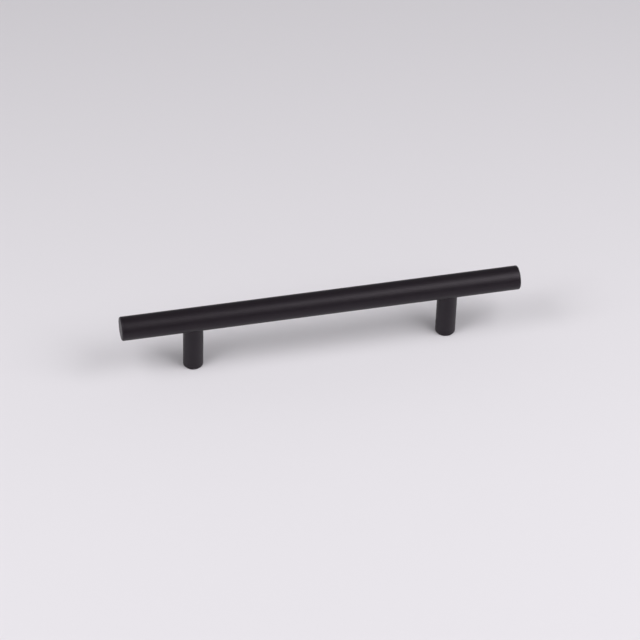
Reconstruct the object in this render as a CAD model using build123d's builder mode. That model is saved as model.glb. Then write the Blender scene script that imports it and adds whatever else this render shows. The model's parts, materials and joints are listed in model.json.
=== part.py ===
from build123d import *
from math import radians, tan
import os

# T bar cabinet pull: a round steel bar on two round posts, joined by studs from inside.
#
# The origin lies midway between the two feet, on the face of the door that the pull is
# fixed to. X runs along the bar and Z points away from the door. Sizes are in millimetres.

# Stance of the whole pull
projection = 35.0  # from the door to the top of the bar
hole_centres = 128.0  # from one fixing hole to the other

# Bar: solid round rod, faced and chamfered at both ends
bar_diameter = 12.0
bar_length = 200.0
bar_end_chamfer = 0.5

# Posts: turned from round rod
post_diameter = 10.0
post_foot_chamfer = 0.35
post_top_chamfer = 0.25

# Seats: flat-bottomed pockets in the underside of the bar, one for the end of each post
seat_depth = 3.2  # above the lowest line of the bar, so that a full rim closes round the post
seat_clearance = 0.05  # between the post and the wall of its pocket

# Studs: M5 set screws that draw the posts up into their seats
stud_length = 10.0
stud_grip = 5.0  # the length of a stud that is in the bar
stud_diameter = 4.48  # the pitch diameter: a plain cylinder stands for the thread
stud_clearance = 0.02  # between a stud and the wall of its holes
stud_end_chamfer = 0.4
stud_hole_run_out = 0.5  # drilled past each end of a stud
key_size = 2.5  # hexagon socket, across the flats
key_depth = 2.5

# Fixing holes: one in each foot, tapped M4 for a machine screw driven from inside the door
fixing_tap_drill = 3.3
fixing_depth = 12.0
fixing_countersink = 4.2  # diameter at the mouth, cut at 45 degrees

drill_point_angle = 118.0


def drill_point(radius):
    """Height of the cone that a twist drill of this radius leaves at the end of a hole."""
    return radius / tan(radians(drill_point_angle / 2))


# Radii and heights that follow from the sizes
bar_radius = bar_diameter / 2
post_radius = post_diameter / 2
stud_radius = stud_diameter / 2
stud_hole_radius = stud_radius + stud_clearance
fixing_radius = fixing_tap_drill / 2
fixing_mouth_radius = fixing_countersink / 2

seat_height = projection - bar_diameter + seat_depth
stud_top = seat_height + stud_grip
stud_bottom = stud_top - stud_length
bar_hole_end = stud_top + stud_hole_run_out
post_hole_end = stud_bottom - stud_hole_run_out

post_places = {"left": -hole_centres / 2, "right": hole_centres / 2}


def half_section(x):
    """Upright plane through the axis of the post at x, on which turned shapes are drawn."""
    return Plane(origin=(x, 0, 0), x_dir=(1, 0, 0), z_dir=(0, -1, 0))


def turning_axis(x):
    """Axis of the post at x, of its stud and of its holes."""
    return Axis((x, 0, 0), (0, 0, 1))


# The bar
with BuildPart() as bar:
    with BuildSketch(Plane.YZ.offset(-bar_length / 2)):
        with Locations((0, projection - bar_radius)):
            Circle(bar_radius)
    extrude(amount=bar_length)
    chamfer(bar.faces().filter_by(Axis.X).edges(), length=bar_end_chamfer)

    # both seats, milled up from below
    with BuildSketch(Plane.XY.offset(seat_height)):
        with Locations(*[(x, 0) for x in post_places.values()]):
            Circle(post_radius + seat_clearance)
    extrude(amount=-bar_diameter, mode=Mode.SUBTRACT)

    # a blind hole above each seat, with its drill point
    for x in post_places.values():
        with BuildSketch(half_section(x)):
            with BuildLine():
                Polyline(
                    (0, seat_height),
                    (stud_hole_radius, seat_height),
                    (stud_hole_radius, bar_hole_end),
                    (0, bar_hole_end + drill_point(stud_hole_radius)),
                    close=True,
                )
            make_face()
        revolve(axis=turning_axis(x), mode=Mode.SUBTRACT)

bar.part.label = "bar"
pieces = [bar.part]

# The posts: each one is a single turning, drilled and tapped from both ends
for side, x in post_places.items():
    with BuildPart() as post:
        with BuildSketch(half_section(x)):
            with BuildLine():
                Polyline(
                    (0, fixing_depth + drill_point(fixing_radius)),
                    (fixing_radius, fixing_depth),
                    (fixing_radius, fixing_mouth_radius - fixing_radius),
                    (fixing_mouth_radius, 0),
                    (post_radius - post_foot_chamfer, 0),
                    (post_radius, post_foot_chamfer),
                    (post_radius, seat_height - post_top_chamfer),
                    (post_radius - post_top_chamfer, seat_height),
                    (stud_hole_radius, seat_height),
                    (stud_hole_radius, post_hole_end),
                    (0, post_hole_end - drill_point(stud_hole_radius)),
                    close=True,
                )
            make_face()
        revolve(axis=turning_axis(x))

    post.part.label = f"{side}_post"
    pieces.append(post.part)

# The studs: half in the post and half in the bar, with the key's socket at the lower end
for side, x in post_places.items():
    with BuildPart() as stud:
        with BuildSketch(Plane.XY.offset(stud_bottom)):
            with Locations((x, 0)):
                Circle(stud_radius)
        extrude(amount=stud_length)
        chamfer(stud.edges().filter_by(GeomType.CIRCLE), length=stud_end_chamfer)
        with BuildSketch(Plane.XY.offset(stud_bottom)):
            with Locations((x, 0)):
                RegularPolygon(key_size / 2, side_count=6, major_radius=False)
        extrude(amount=key_depth, mode=Mode.SUBTRACT)

    stud.part.label = f"{side}_stud"
    pieces.append(stud.part)

os.makedirs("parts", exist_ok=True)
for piece in pieces:
    export_step(piece, f"parts/{piece.label}.step")
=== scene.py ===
import json
import math
from collections import namedtuple

import bmesh
import bpy
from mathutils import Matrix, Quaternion, Vector


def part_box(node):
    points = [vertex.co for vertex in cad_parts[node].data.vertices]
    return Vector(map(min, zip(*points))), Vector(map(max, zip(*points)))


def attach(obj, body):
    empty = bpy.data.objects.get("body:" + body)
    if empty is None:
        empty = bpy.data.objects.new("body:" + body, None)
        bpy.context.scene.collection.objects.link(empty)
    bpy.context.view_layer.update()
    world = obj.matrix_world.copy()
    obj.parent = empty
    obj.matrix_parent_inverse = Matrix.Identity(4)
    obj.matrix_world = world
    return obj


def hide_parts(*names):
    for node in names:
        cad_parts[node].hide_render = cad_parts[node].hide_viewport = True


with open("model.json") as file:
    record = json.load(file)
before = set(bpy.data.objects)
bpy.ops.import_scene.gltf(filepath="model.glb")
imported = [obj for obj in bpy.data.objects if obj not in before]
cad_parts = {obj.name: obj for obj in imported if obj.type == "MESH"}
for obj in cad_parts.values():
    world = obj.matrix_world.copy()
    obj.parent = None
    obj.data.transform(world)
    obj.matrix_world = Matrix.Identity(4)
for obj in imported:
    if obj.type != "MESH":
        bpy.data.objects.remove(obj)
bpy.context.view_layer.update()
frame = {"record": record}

# The bar
# Solid round steel rod, faced in the lathe with a fine chamfer at each end, and coated matt
# black. Two flat-bottomed seats are milled into its underside for the posts, and each has
# a tapped hole above it.

mm = 0.001  # the frame is in metres

projection = 35 * mm  # from the door to the top of the bar
bar_low, bar_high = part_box("bar")
bar_radius = (bar_high.y - bar_low.y) / 2
bar_half = (bar_high.x - bar_low.x) / 2
bar_axis = projection - bar_radius
bar_chamfer = 0.5 * mm
bar_facets = 96
end_round = 0.2 * mm  # the coat rounds the edges of both ends by this much
rim_round = 0.1 * mm  # and the rim of a seat by this much

post_low, post_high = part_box("right_post")
post_x = (post_low.x + post_high.x) / 2
post_radius = (post_high.y - post_low.y) / 2
seat_height = post_high.z
seat_clearance = 0.05 * mm  # all round the top of a post
seat_radius = post_radius + seat_clearance

# pitch of a thread, and the radii of its root, its crest, its tap drill and its countersink
Thread = namedtuple("Thread", "pitch root crest drill sink")
stud_low, stud_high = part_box("right_stud")
stud_thread = Thread(pitch=0.8 * mm, root=2.01 * mm, crest=2.48 * mm, drill=2.1 * mm, sink=2.6 * mm)
stud_run_out = 0.5 * mm  # each hole for a stud goes on past the stud's end by this much
thread_play = 0.02 * mm  # a tapped hole is wider than its screw by this much all round
drill_point = 118  # degrees
drill_slope = math.tan(math.radians(90 - drill_point / 2))  # rise of a drill's point over its radius


def eased(outline, round_to, steps=4):
    """The outline with each of its inner corners rounded to an arc."""
    points = [Vector(outline[0])]
    for before, corner, after in zip(outline, outline[1:], outline[2:]):
        corner = Vector(corner)
        back = (Vector(before) - corner).normalized()
        ahead = (Vector(after) - corner).normalized()
        half_angle = back.angle(ahead) / 2
        middle = corner + (back + ahead).normalized() * round_to / math.sin(half_angle)
        start = corner + back * round_to / math.tan(half_angle) - middle
        end = corner + ahead * round_to / math.tan(half_angle) - middle
        for step in range(steps + 1):
            points.append(middle + start.slerp(end, step / steps) * round_to)
    points.append(Vector(outline[-1]))
    return points


def about_post(centre_x, bearing, radius, height):
    """Point about a post's axis."""
    return Vector((centre_x + radius * math.cos(bearing), radius * math.sin(bearing), height))


def ring_at(centre_x, bearings, radius, height):
    """Level ring about a post's axis."""
    return [about_post(centre_x, bearing, radius, height) for bearing in bearings]


# a metric thread has a flat root and a flat crest, in shares of its pitch, and two even flanks
root_flat = 1 / 4
crest_flat = 1 / 8
flank_width = (1 - root_flat - crest_flat) / 2
flank_rows = 3


def thread_radius(thread, bearing, height):
    """Radius of a right-handed thread at this place."""
    turn = (height / thread.pitch - bearing / math.tau) % 1.0
    up_flank = (abs(turn - 0.5) - root_flat / 2) / flank_width
    return thread.root + min(max(up_flank, 0.0), 1.0) * (thread.crest - thread.root)


def thread_rows(centre_x, bearings, low, high, pitch, radius_at):
    """Rows of points that climb with the thread, cut off level at both heights."""
    down_flank = [crest_flat / 2 + flank_width * i / flank_rows for i in range(flank_rows + 1)]
    cuts = down_flank + [0.5] + [1 - cut for cut in reversed(down_flank)]
    around = bearings + [bearings[0] + math.tau]
    first = math.floor(low / pitch - around[-1] / math.tau) - 1
    last = math.ceil(high / pitch - around[0] / math.tau) + 1
    rows = []
    for turn in range(first, last):
        for cut in cuts:
            row = []
            for bearing in around:
                height = min(max((turn + cut + bearing / math.tau) * pitch, low), high)
                row.append(about_post(centre_x, bearing, radius_at(bearing, height), height))
            rows.append(row)
    return rows


coated, bare = 0, 1  # places in a piece's list of finishes
weld_within = 0.0005 * mm  # points this close are one
sharp_over = math.radians(32)  # an edge bent by more than this stays sharp


class Skin:
    """Collects the faces of one piece, patch by patch, and makes its mesh."""

    def __init__(self):
        self.points = []
        self.faces = []
        self.finishes = []

    def strip(self, rings, finish=coated, closed=True):
        """Joins each ring of points to the next. A ring of one point is a tip."""
        starts = []
        for ring in rings:
            starts.append(len(self.points))
            self.points.extend(ring)
        for ring, after, a, b in zip(rings, rings[1:], starts, starts[1:]):
            count = max(len(ring), len(after))
            for i in range(count if closed else count - 1):
                j = (i + 1) % count
                if len(ring) == 1:
                    self.faces.append((a, b + i, b + j))
                elif len(after) == 1:
                    self.faces.append((a + i, b, a + j))
                else:
                    self.faces.append((a + i, b + i, b + j, a + j))
                self.finishes.append(finish)

    def piece(self, name, materials):
        """Welds the patches into one closed mesh with its faces turned outwards."""
        mesh = bpy.data.meshes.new(name)
        mesh.from_pydata(self.points, [], self.faces)
        for material in materials:
            mesh.materials.append(material)
        mesh.polygons.foreach_set("material_index", self.finishes)
        weld = bmesh.new()
        weld.from_mesh(mesh)
        bmesh.ops.remove_doubles(weld, verts=weld.verts, dist=weld_within)
        bmesh.ops.recalc_face_normals(weld, faces=weld.faces)
        weld.to_mesh(mesh)
        weld.free()
        mesh.shade_smooth()
        mesh.set_sharp_from_angle(angle=sharp_over)
        made = bpy.data.objects.new(name, mesh)
        bpy.context.scene.collection.objects.link(made)
        return made


def tapped_hole(skin, centre_x, bearings, mouth, end, thread):
    """Countersunk and tapped hole from its mouth to the tip that the drill left."""
    def cut_radius(bearing, height):
        cut = max(thread_radius(thread, bearing, height) + thread_play, thread.drill)
        fade = min(1.0, abs(end - height) / thread.pitch)
        return max(thread.drill + (cut - thread.drill) * fade, thread.sink - abs(height - mouth))

    low, high = sorted((mouth, end))
    skin.strip(thread_rows(centre_x, bearings, low, high, thread.pitch, cut_radius), bare, closed=False)
    point = math.copysign(thread.drill * drill_slope, end - mouth)
    skin.strip([ring_at(centre_x, bearings, thread.drill, end), [Vector((centre_x, 0, end + point))]], bare)


def on_bar(x, turn, radius=bar_radius):
    """Point on the bar, turn being measured from its lowest line."""
    return Vector((x, radius * math.sin(turn), bar_axis - radius * math.cos(turn)))


def turn_at(facet):
    """Turn at the edge of this facet, counted from the bar's lowest line."""
    return facet * math.tau / bar_facets


bar_skin = Skin()

# the bar's side, in columns that leave out a patch round each seat
patch_half = 7 * mm  # to either side of a post's axis
patch_columns = 24
patch_facets = 20  # to either side of the lowest line
side_end = bar_half - 3 * mm
stops = [-side_end, -post_x - patch_half, -post_x + patch_half,
         post_x - patch_half, post_x + patch_half, side_end]
splits = [7, patch_columns, 28, patch_columns, 7]  # columns from each stop to the next
all_round = range(bar_facets)
past_patch = range(patch_facets, bar_facets - patch_facets + 1)
for part, (left, right, count) in enumerate(zip(stops, stops[1:], splits)):
    columns = [left + (right - left) * i / count for i in range(count + 1)]
    has_patch = part in (1, 3)
    facets = past_patch if has_patch else all_round
    bar_skin.strip([[on_bar(x, turn_at(j)) for j in facets] for x in columns], closed=not has_patch)

# its two ends
end_outline = eased([
    (side_end, bar_radius),
    (bar_half - bar_chamfer, bar_radius),
    (bar_half, bar_radius - bar_chamfer),
    (bar_half, bar_radius / 2),
], end_round)
for way in (-1, 1):
    rings = [[on_bar(way * x, turn_at(j), radius) for j in all_round] for x, radius in end_outline]
    rings.append([Vector((way * bar_half, 0, bar_axis))])
    bar_skin.strip(rings)

# the edge of a patch, as places along the bar and turns round it
column_width = 2 * patch_half / patch_columns
edge = [(patch_half, turn_at(j)) for j in range(-patch_facets, patch_facets)]
edge += [(patch_half - i * column_width, turn_at(patch_facets)) for i in range(patch_columns)]
edge += [(-patch_half, turn_at(j)) for j in range(patch_facets, -patch_facets, -1)]
edge += [(-patch_half + i * column_width, turn_at(-patch_facets)) for i in range(patch_columns)]
seat_bearings = [math.atan2(bar_radius * math.sin(turn), along) for along, turn in edge]
seat_bearings = [seat_bearings[0] + (bearing - seat_bearings[0]) % math.tau for bearing in seat_bearings]

# each patch, then its seat and the tapped hole above it
patch_rings = 6
closing_in = 1.4  # the rings of a patch lie closer together towards the seat
rim_steps = 3
rim_radius = seat_radius + rim_round
for x in (-post_x, post_x):
    rings = []
    for k in range(patch_rings + 1):
        share = (1 - k / patch_rings) ** closing_in
        ring = []
        for (edge_along, edge_turn), bearing in zip(edge, seat_bearings):
            rim_along = rim_radius * math.cos(bearing)
            rim_turn = math.asin(rim_radius * math.sin(bearing) / bar_radius)
            along = rim_along + (edge_along - rim_along) * share
            turn = rim_turn + (edge_turn - rim_turn) * share
            ring.append(on_bar(x + along, turn))
        rings.append(ring)
    rim_heights = [point.z for point in rings[-1]]
    for k in range(1, rim_steps + 1):
        angle = math.pi / 2 * k / rim_steps
        radius = seat_radius + rim_round * (1 - math.sin(angle))
        rise = rim_round * (1 - math.cos(angle))
        rings.append([about_post(x, b, radius, z + rise) for b, z in zip(seat_bearings, rim_heights)])
    rings.append(ring_at(x, seat_bearings, seat_radius, seat_height))
    rings.append(ring_at(x, seat_bearings, stud_thread.sink, seat_height))
    bar_skin.strip(rings)
    tapped_hole(bar_skin, x, seat_bearings, seat_height, stud_high.z + stud_run_out, stud_thread)


def blank(name):
    """New material, its node tree and its principled shader."""
    material = bpy.data.materials.new(name)
    material.use_nodes = True
    return material, material.node_tree, material.node_tree.nodes["Principled BSDF"]


def fill(tree, node, sockets):
    """Gives each named socket a value, or links it to an output of another node."""
    for name, given in sockets.items():
        if isinstance(given, bpy.types.NodeSocket):
            tree.links.new(given, node.inputs[name])
        else:
            node.inputs[name].default_value = given


def add(tree, kind, sockets, **settings):
    """New node with these settings and with its sockets filled."""
    node = tree.nodes.new("ShaderNode" + kind)
    for name, setting in settings.items():
        setattr(node, name, setting)
    fill(tree, node, sockets)
    return node


def mottle(tree, scale, detail, stretch=None):
    """Uneven field in the piece's own space, from 0 to 1."""
    place = add(tree, "TexCoord", {}).outputs["Object"]
    if stretch:
        place = add(tree, "Mapping", {"Vector": place, "Scale": stretch}).outputs["Vector"]
    return add(tree, "TexNoise", {"Vector": place, "Scale": scale, "Detail": detail}).outputs["Fac"]


whole_field = (0.0, 1.0)
most_of_field = (0.3, 0.7)  # nearly all of a field's values lie between these


def tint(tree, field, over, dark, light):
    """Colour that goes from dark to light over this part of the field."""
    ramp = add(tree, "ValToRGB", {"Fac": field})
    for step, at, colour in zip(ramp.color_ramp.elements, over, (dark, light)):
        step.position = at
        step.color = (*colour, 1)
    return ramp.outputs["Color"]


def roughness(tree, field, over, smooth, rough):
    """Roughness that goes from smooth to rough over this part of the field."""
    return add(tree, "MapRange", {
        "Value": field,
        "From Min": over[0],
        "From Max": over[1],
        "To Min": smooth,
        "To Max": rough,
    }).outputs["Result"]


def bump(tree, field, height, strength, upon=None):
    """Bump of this height, which may lie upon another."""
    sockets = {"Height": field, "Distance": height, "Strength": strength}
    if upon:
        sockets["Normal"] = upon
    return add(tree, "Bump", sockets).outputs["Normal"]


def powder_coat():
    """Matt black powder coat, with the fine grain and faint orange peel of a baked coat."""
    coat, tree, shader = blank("matt_black_powder_coat")
    patches = mottle(tree, scale=420, detail=4)
    darkest, lightest = (0.0048, 0.0026, 0.0050), (0.0064, 0.0038, 0.0066)
    grain = bump(tree, mottle(tree, scale=3600, detail=2), height=0.030 * mm, strength=0.8)
    peel = bump(tree, mottle(tree, scale=1100, detail=1), height=0.035 * mm, strength=0.7, upon=grain)
    fill(tree, shader, {
        "Base Color": tint(tree, patches, most_of_field, darkest, lightest),
        "Roughness": roughness(tree, patches, most_of_field, smooth=0.425, rough=0.455),
        "IOR": 1.5,
        "Specular IOR Level": 0.355,
        "Specular Tint": (1.0, 0.92, 1.0, 1),
        "Normal": peel,
    })
    return coat


def cut_steel():
    """Bare steel in the tapped holes, which are plugged while the coat goes on."""
    steel, tree, shader = blank("bare_tapped_steel")
    marks = mottle(tree, scale=1, detail=3, stretch=(900, 900, 9000))
    fill(tree, shader, {
        "Base Color": tint(tree, marks, whole_field, dark=(0.30, 0.29, 0.28), light=(0.52, 0.51, 0.50)),
        "Roughness": roughness(tree, marks, whole_field, smooth=0.28, rough=0.46),
        "Metallic": 1.0,
    })
    return steel


black_coat = powder_coat()
bare_steel = cut_steel()

bar = bar_skin.piece("coated_bar", [black_coat, bare_steel])
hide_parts("bar")
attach(bar, "root")

# The studs
# M5 set screws of zinc plated steel, ten millimetres long, with a hexagon socket for the key.
# Each is driven halfway into the bar and then holds a post.

stud_end_radius = 1.91 * mm  # a 45 degree chamfer brings each end down below the thread's root
key_half = 1.25 * mm  # half of the key's width across its flats
key_depth = 2.5 * mm
socket_end = stud_low.z + key_depth
stud_facets = 48
stud_bearings = [i * math.tau / stud_facets - math.pi for i in range(stud_facets)]


def hexagon(centre_x, height):
    """Ring round the socket for the key."""
    ring = []
    for bearing in stud_bearings:
        from_flat = bearing % (math.pi / 3) - math.pi / 6
        ring.append(about_post(centre_x, bearing, key_half / math.cos(from_flat), height))
    return ring


def rolled_radius(bearing, height):
    """Radius of a stud, brought down by its chamfer at both ends."""
    from_end = min(height - stud_low.z, stud_high.z - height)
    return min(thread_radius(stud_thread, bearing, height), stud_end_radius + from_end)


def zinc_plate():
    """Bright zinc over a rolled thread, slightly blue and slightly uneven."""
    plate, tree, shader = blank("bright_zinc_plate")
    cloud = mottle(tree, scale=700, detail=5)
    fill(tree, shader, {
        "Base Color": tint(tree, cloud, most_of_field, dark=(0.56, 0.58, 0.61), light=(0.68, 0.69, 0.70)),
        "Roughness": roughness(tree, cloud, whole_field, smooth=0.22, rough=0.38),
        "Metallic": 1.0,
    })
    return plate


zinc = zinc_plate()
for side, x in (("left", -post_x), ("right", post_x)):
    skin = Skin()
    skin.strip([
        [Vector((x, 0, socket_end + key_half * drill_slope))],
        hexagon(x, socket_end),
        hexagon(x, stud_low.z),
        ring_at(x, stud_bearings, stud_end_radius, stud_low.z),
    ])
    flanks = thread_rows(x, stud_bearings, stud_low.z, stud_high.z, stud_thread.pitch, rolled_radius)
    skin.strip(flanks, closed=False)
    skin.strip([ring_at(x, stud_bearings, stud_end_radius, stud_high.z), [Vector((x, 0, stud_high.z))]])
    stud = skin.piece(f"{side}_threaded_stud", [zinc])
    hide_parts(f"{side}_stud")
    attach(stud, "root")

# The posts
# Turned from round steel rod, drilled and tapped from both ends, and coated as the bar is.
# A post screws onto its stud until its flat top bottoms in the bar's seat.

foot_chamfer = 0.35 * mm
top_chamfer = 0.25 * mm
post_round = 0.12 * mm  # the coat rounds the edges of a post by this much
fixing = next(mount for mount in frame["record"]["mounts"] if mount["name"] == "right_fixing")
fixing_drill = fixing["dims"]["r_mm"] * mm
fixing_thread = Thread(pitch=0.7 * mm, root=1.57 * mm, crest=2.0 * mm, drill=fixing_drill, sink=2.1 * mm)
fixing_end = 12 * mm  # the hole for the door's screw goes up to here
post_facets = 72
post_bearings = [i * math.tau / post_facets - math.pi for i in range(post_facets)]
post_outline = eased([
    (fixing_thread.sink, 0),
    (post_radius - foot_chamfer, 0),
    (post_radius, foot_chamfer),
    (post_radius, seat_height - top_chamfer),
    (post_radius - top_chamfer, seat_height),
    (stud_thread.sink, seat_height),
], post_round)

for side, x in (("left", -post_x), ("right", post_x)):
    skin = Skin()
    skin.strip([ring_at(x, post_bearings, radius, height) for radius, height in post_outline])
    tapped_hole(skin, x, post_bearings, 0, fixing_end, fixing_thread)
    tapped_hole(skin, x, post_bearings, seat_height, stud_low.z - stud_run_out, stud_thread)
    post = skin.piece(f"{side}_coated_post", [black_coat, bare_steel])
    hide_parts(f"{side}_post")
    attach(post, "root")

# The floor
# A plain pale surface, far larger than the picture. Beyond the lamps' reach it glows faintly
# to the camera and in reflections, so that it stays pale, and it lights nothing else.

floor_half = 6.0
lit_reach = 0.4  # up to here the floor has no glow
pale_from = 1.4  # and from here on its full glow
far_glow = 0.50


def combined(tree, operation, first, second, kind="Math"):
    """Outcome of one sum on two outputs."""
    return add(tree, kind, {0: first, 1: second}, operation=operation).outputs[0]


def seen_by(tree):
    """Two outputs, for what the camera sees straight and for what it sees mirrored or through glass."""
    rays = add(tree, "LightPath", {}).outputs
    mirrored = combined(tree, "MAXIMUM", rays["Is Glossy Ray"], rays["Is Transmission Ray"])
    return rays["Is Camera Ray"], mirrored


plaster, tree, shader = blank("pale_floor")
place = add(tree, "TexCoord", {}).outputs["Object"]
reach = add(tree, "VectorMath", {0: place}, operation="LENGTH").outputs["Value"]
far = add(tree, "MapRange", {
    "Value": reach,
    "From Min": lit_reach,
    "From Max": pale_from,
    "To Max": far_glow,
}, interpolation_type="SMOOTHSTEP").outputs["Result"]
shown = combined(tree, "MAXIMUM", *seen_by(tree))
fill(tree, shader, {
    "Base Color": (0.702, 0.680, 0.716, 1),
    "Roughness": 0.9,
    "Specular IOR Level": 0.2,
    "Emission Color": (0.98, 0.95, 1.0, 1),
    "Emission Strength": combined(tree, "MULTIPLY", shown, far),
})

floor_mesh = bpy.data.meshes.new("floor")
corners = [(-floor_half, -floor_half, 0), (floor_half, -floor_half, 0),
           (floor_half, floor_half, 0), (-floor_half, floor_half, 0)]
floor_mesh.from_pydata(corners, [], [(0, 1, 2, 3)])
floor_mesh.materials.append(plaster)
floor = bpy.data.objects.new("floor", floor_mesh)
bpy.context.scene.collection.objects.link(floor)

# The studio
# Two softboxes on stands, one to either side of the pull and a little in front of it, in a
# dim room with a low wide window in the wall at either end of the pull.


def softbox(name, round_from_front, height_angle, distance, width, power):
    """Square soft light, aimed at the pull from this bearing and height."""
    around, up = math.radians(round_from_front), math.radians(height_angle)
    way = Vector((math.sin(around) * math.cos(up), -math.cos(around) * math.cos(up), math.sin(up)))
    light = bpy.data.lights.new(name, "AREA")
    light.shape = "SQUARE"
    light.size = width
    light.energy = power
    box = bpy.data.objects.new(name, light)
    box.location = way * distance
    box.rotation_euler = way.to_track_quat("Z", "Y").to_euler()
    bpy.context.scene.collection.objects.link(box)


softbox("right_softbox", round_from_front=56.3, height_angle=49.4, distance=0.92, width=0.65, power=5.60)
softbox("left_softbox", round_from_front=-74.5, height_angle=48.3, distance=0.92, width=0.55, power=4.56)

room = bpy.data.worlds.new("studio_room")
room.use_nodes = True
tree = room.node_tree
direction = add(tree, "TexCoord", {}).outputs["Generated"]
parts = add(tree, "SeparateXYZ", {"Vector": direction}).outputs


def tones(part, stops):
    """Tone of the room by one part of the direction, which goes from -1 to 1."""
    share = add(tree, "MapRange", {"Value": parts[part], "From Min": -1.0}).outputs["Result"]
    ramp = add(tree, "ValToRGB", {"Fac": share})
    ramp.color_ramp.interpolation = "EASE"
    steps = ramp.color_ramp.elements
    while len(steps) < len(stops):
        steps.new(0.5)
    for step, (at, tone) in zip(steps, stops):
        step.position = (at + 1) / 2
        step.color = (tone, tone, tone, 1)
    return ramp.outputs["Color"]


walls = tones("Z", [(0.12, 0.0), (0.38, 0.27), (0.62, 0.34), (0.85, 0.18)])
window_height = tones("Z", [(0.18, 1.0), (0.50, 0.0)])
window_width = tones("Y", [(-0.80, 0.0), (-0.45, 1.0), (0.45, 1.0), (0.80, 0.0)])
windows = combined(tree, "MULTIPLY", window_height, window_width, kind="VectorMath")
light_of_room = combined(tree, "ADD", walls, windows, kind="VectorMath")

# past the floor's edge the camera sees more of the pale floor, and so do mirrored rays near it
above_edge = 0.06
near_edge = add(tree, "MapRange", {
    "Value": parts["Z"],
    "From Max": above_edge,
    "To Min": 1.0,
    "To Max": 0.0,
}, interpolation_type="SMOOTHSTEP").outputs["Result"]
straight, mirrored = seen_by(tree)
shown = combined(tree, "MAXIMUM", straight, combined(tree, "MULTIPLY", mirrored, near_edge))
backdrop = add(tree, "Mix", {
    "Factor": shown,
    "A": light_of_room,
    "B": (0.70, 0.68, 0.715, 1),
}, data_type="RGBA").outputs["Result"]
fill(tree, tree.nodes["Background"], {"Color": backdrop, "Strength": 1.0})
bpy.context.scene.world = room
bpy.context.scene.view_settings.view_transform = "Standard"

# The camera
# A long lens, above the pull and a little to its left, tipped very slightly anticlockwise.
# Its place and its focal length were fitted to the outline of the bar and the posts.

aim = Vector((-0.99, -2.6, 20.09)) * mm
bearing_left = math.radians(13.738)
height_angle = math.radians(42.549)
tip = math.radians(1.9055)
distance = 1800.4 * mm
back = Vector((-math.sin(bearing_left) * math.cos(height_angle),
               -math.cos(bearing_left) * math.cos(height_angle), math.sin(height_angle)))

lens = bpy.data.cameras.new("camera")
lens.lens = 205.85
lens.clip_end = 50
camera = bpy.data.objects.new("camera", lens)
camera.location = aim + back * distance
camera.rotation_mode = "QUATERNION"
camera.rotation_quaternion = back.to_track_quat("Z", "Y") @ Quaternion((0, 0, 1), tip)
bpy.context.scene.collection.objects.link(camera)
bpy.context.scene.camera = camera
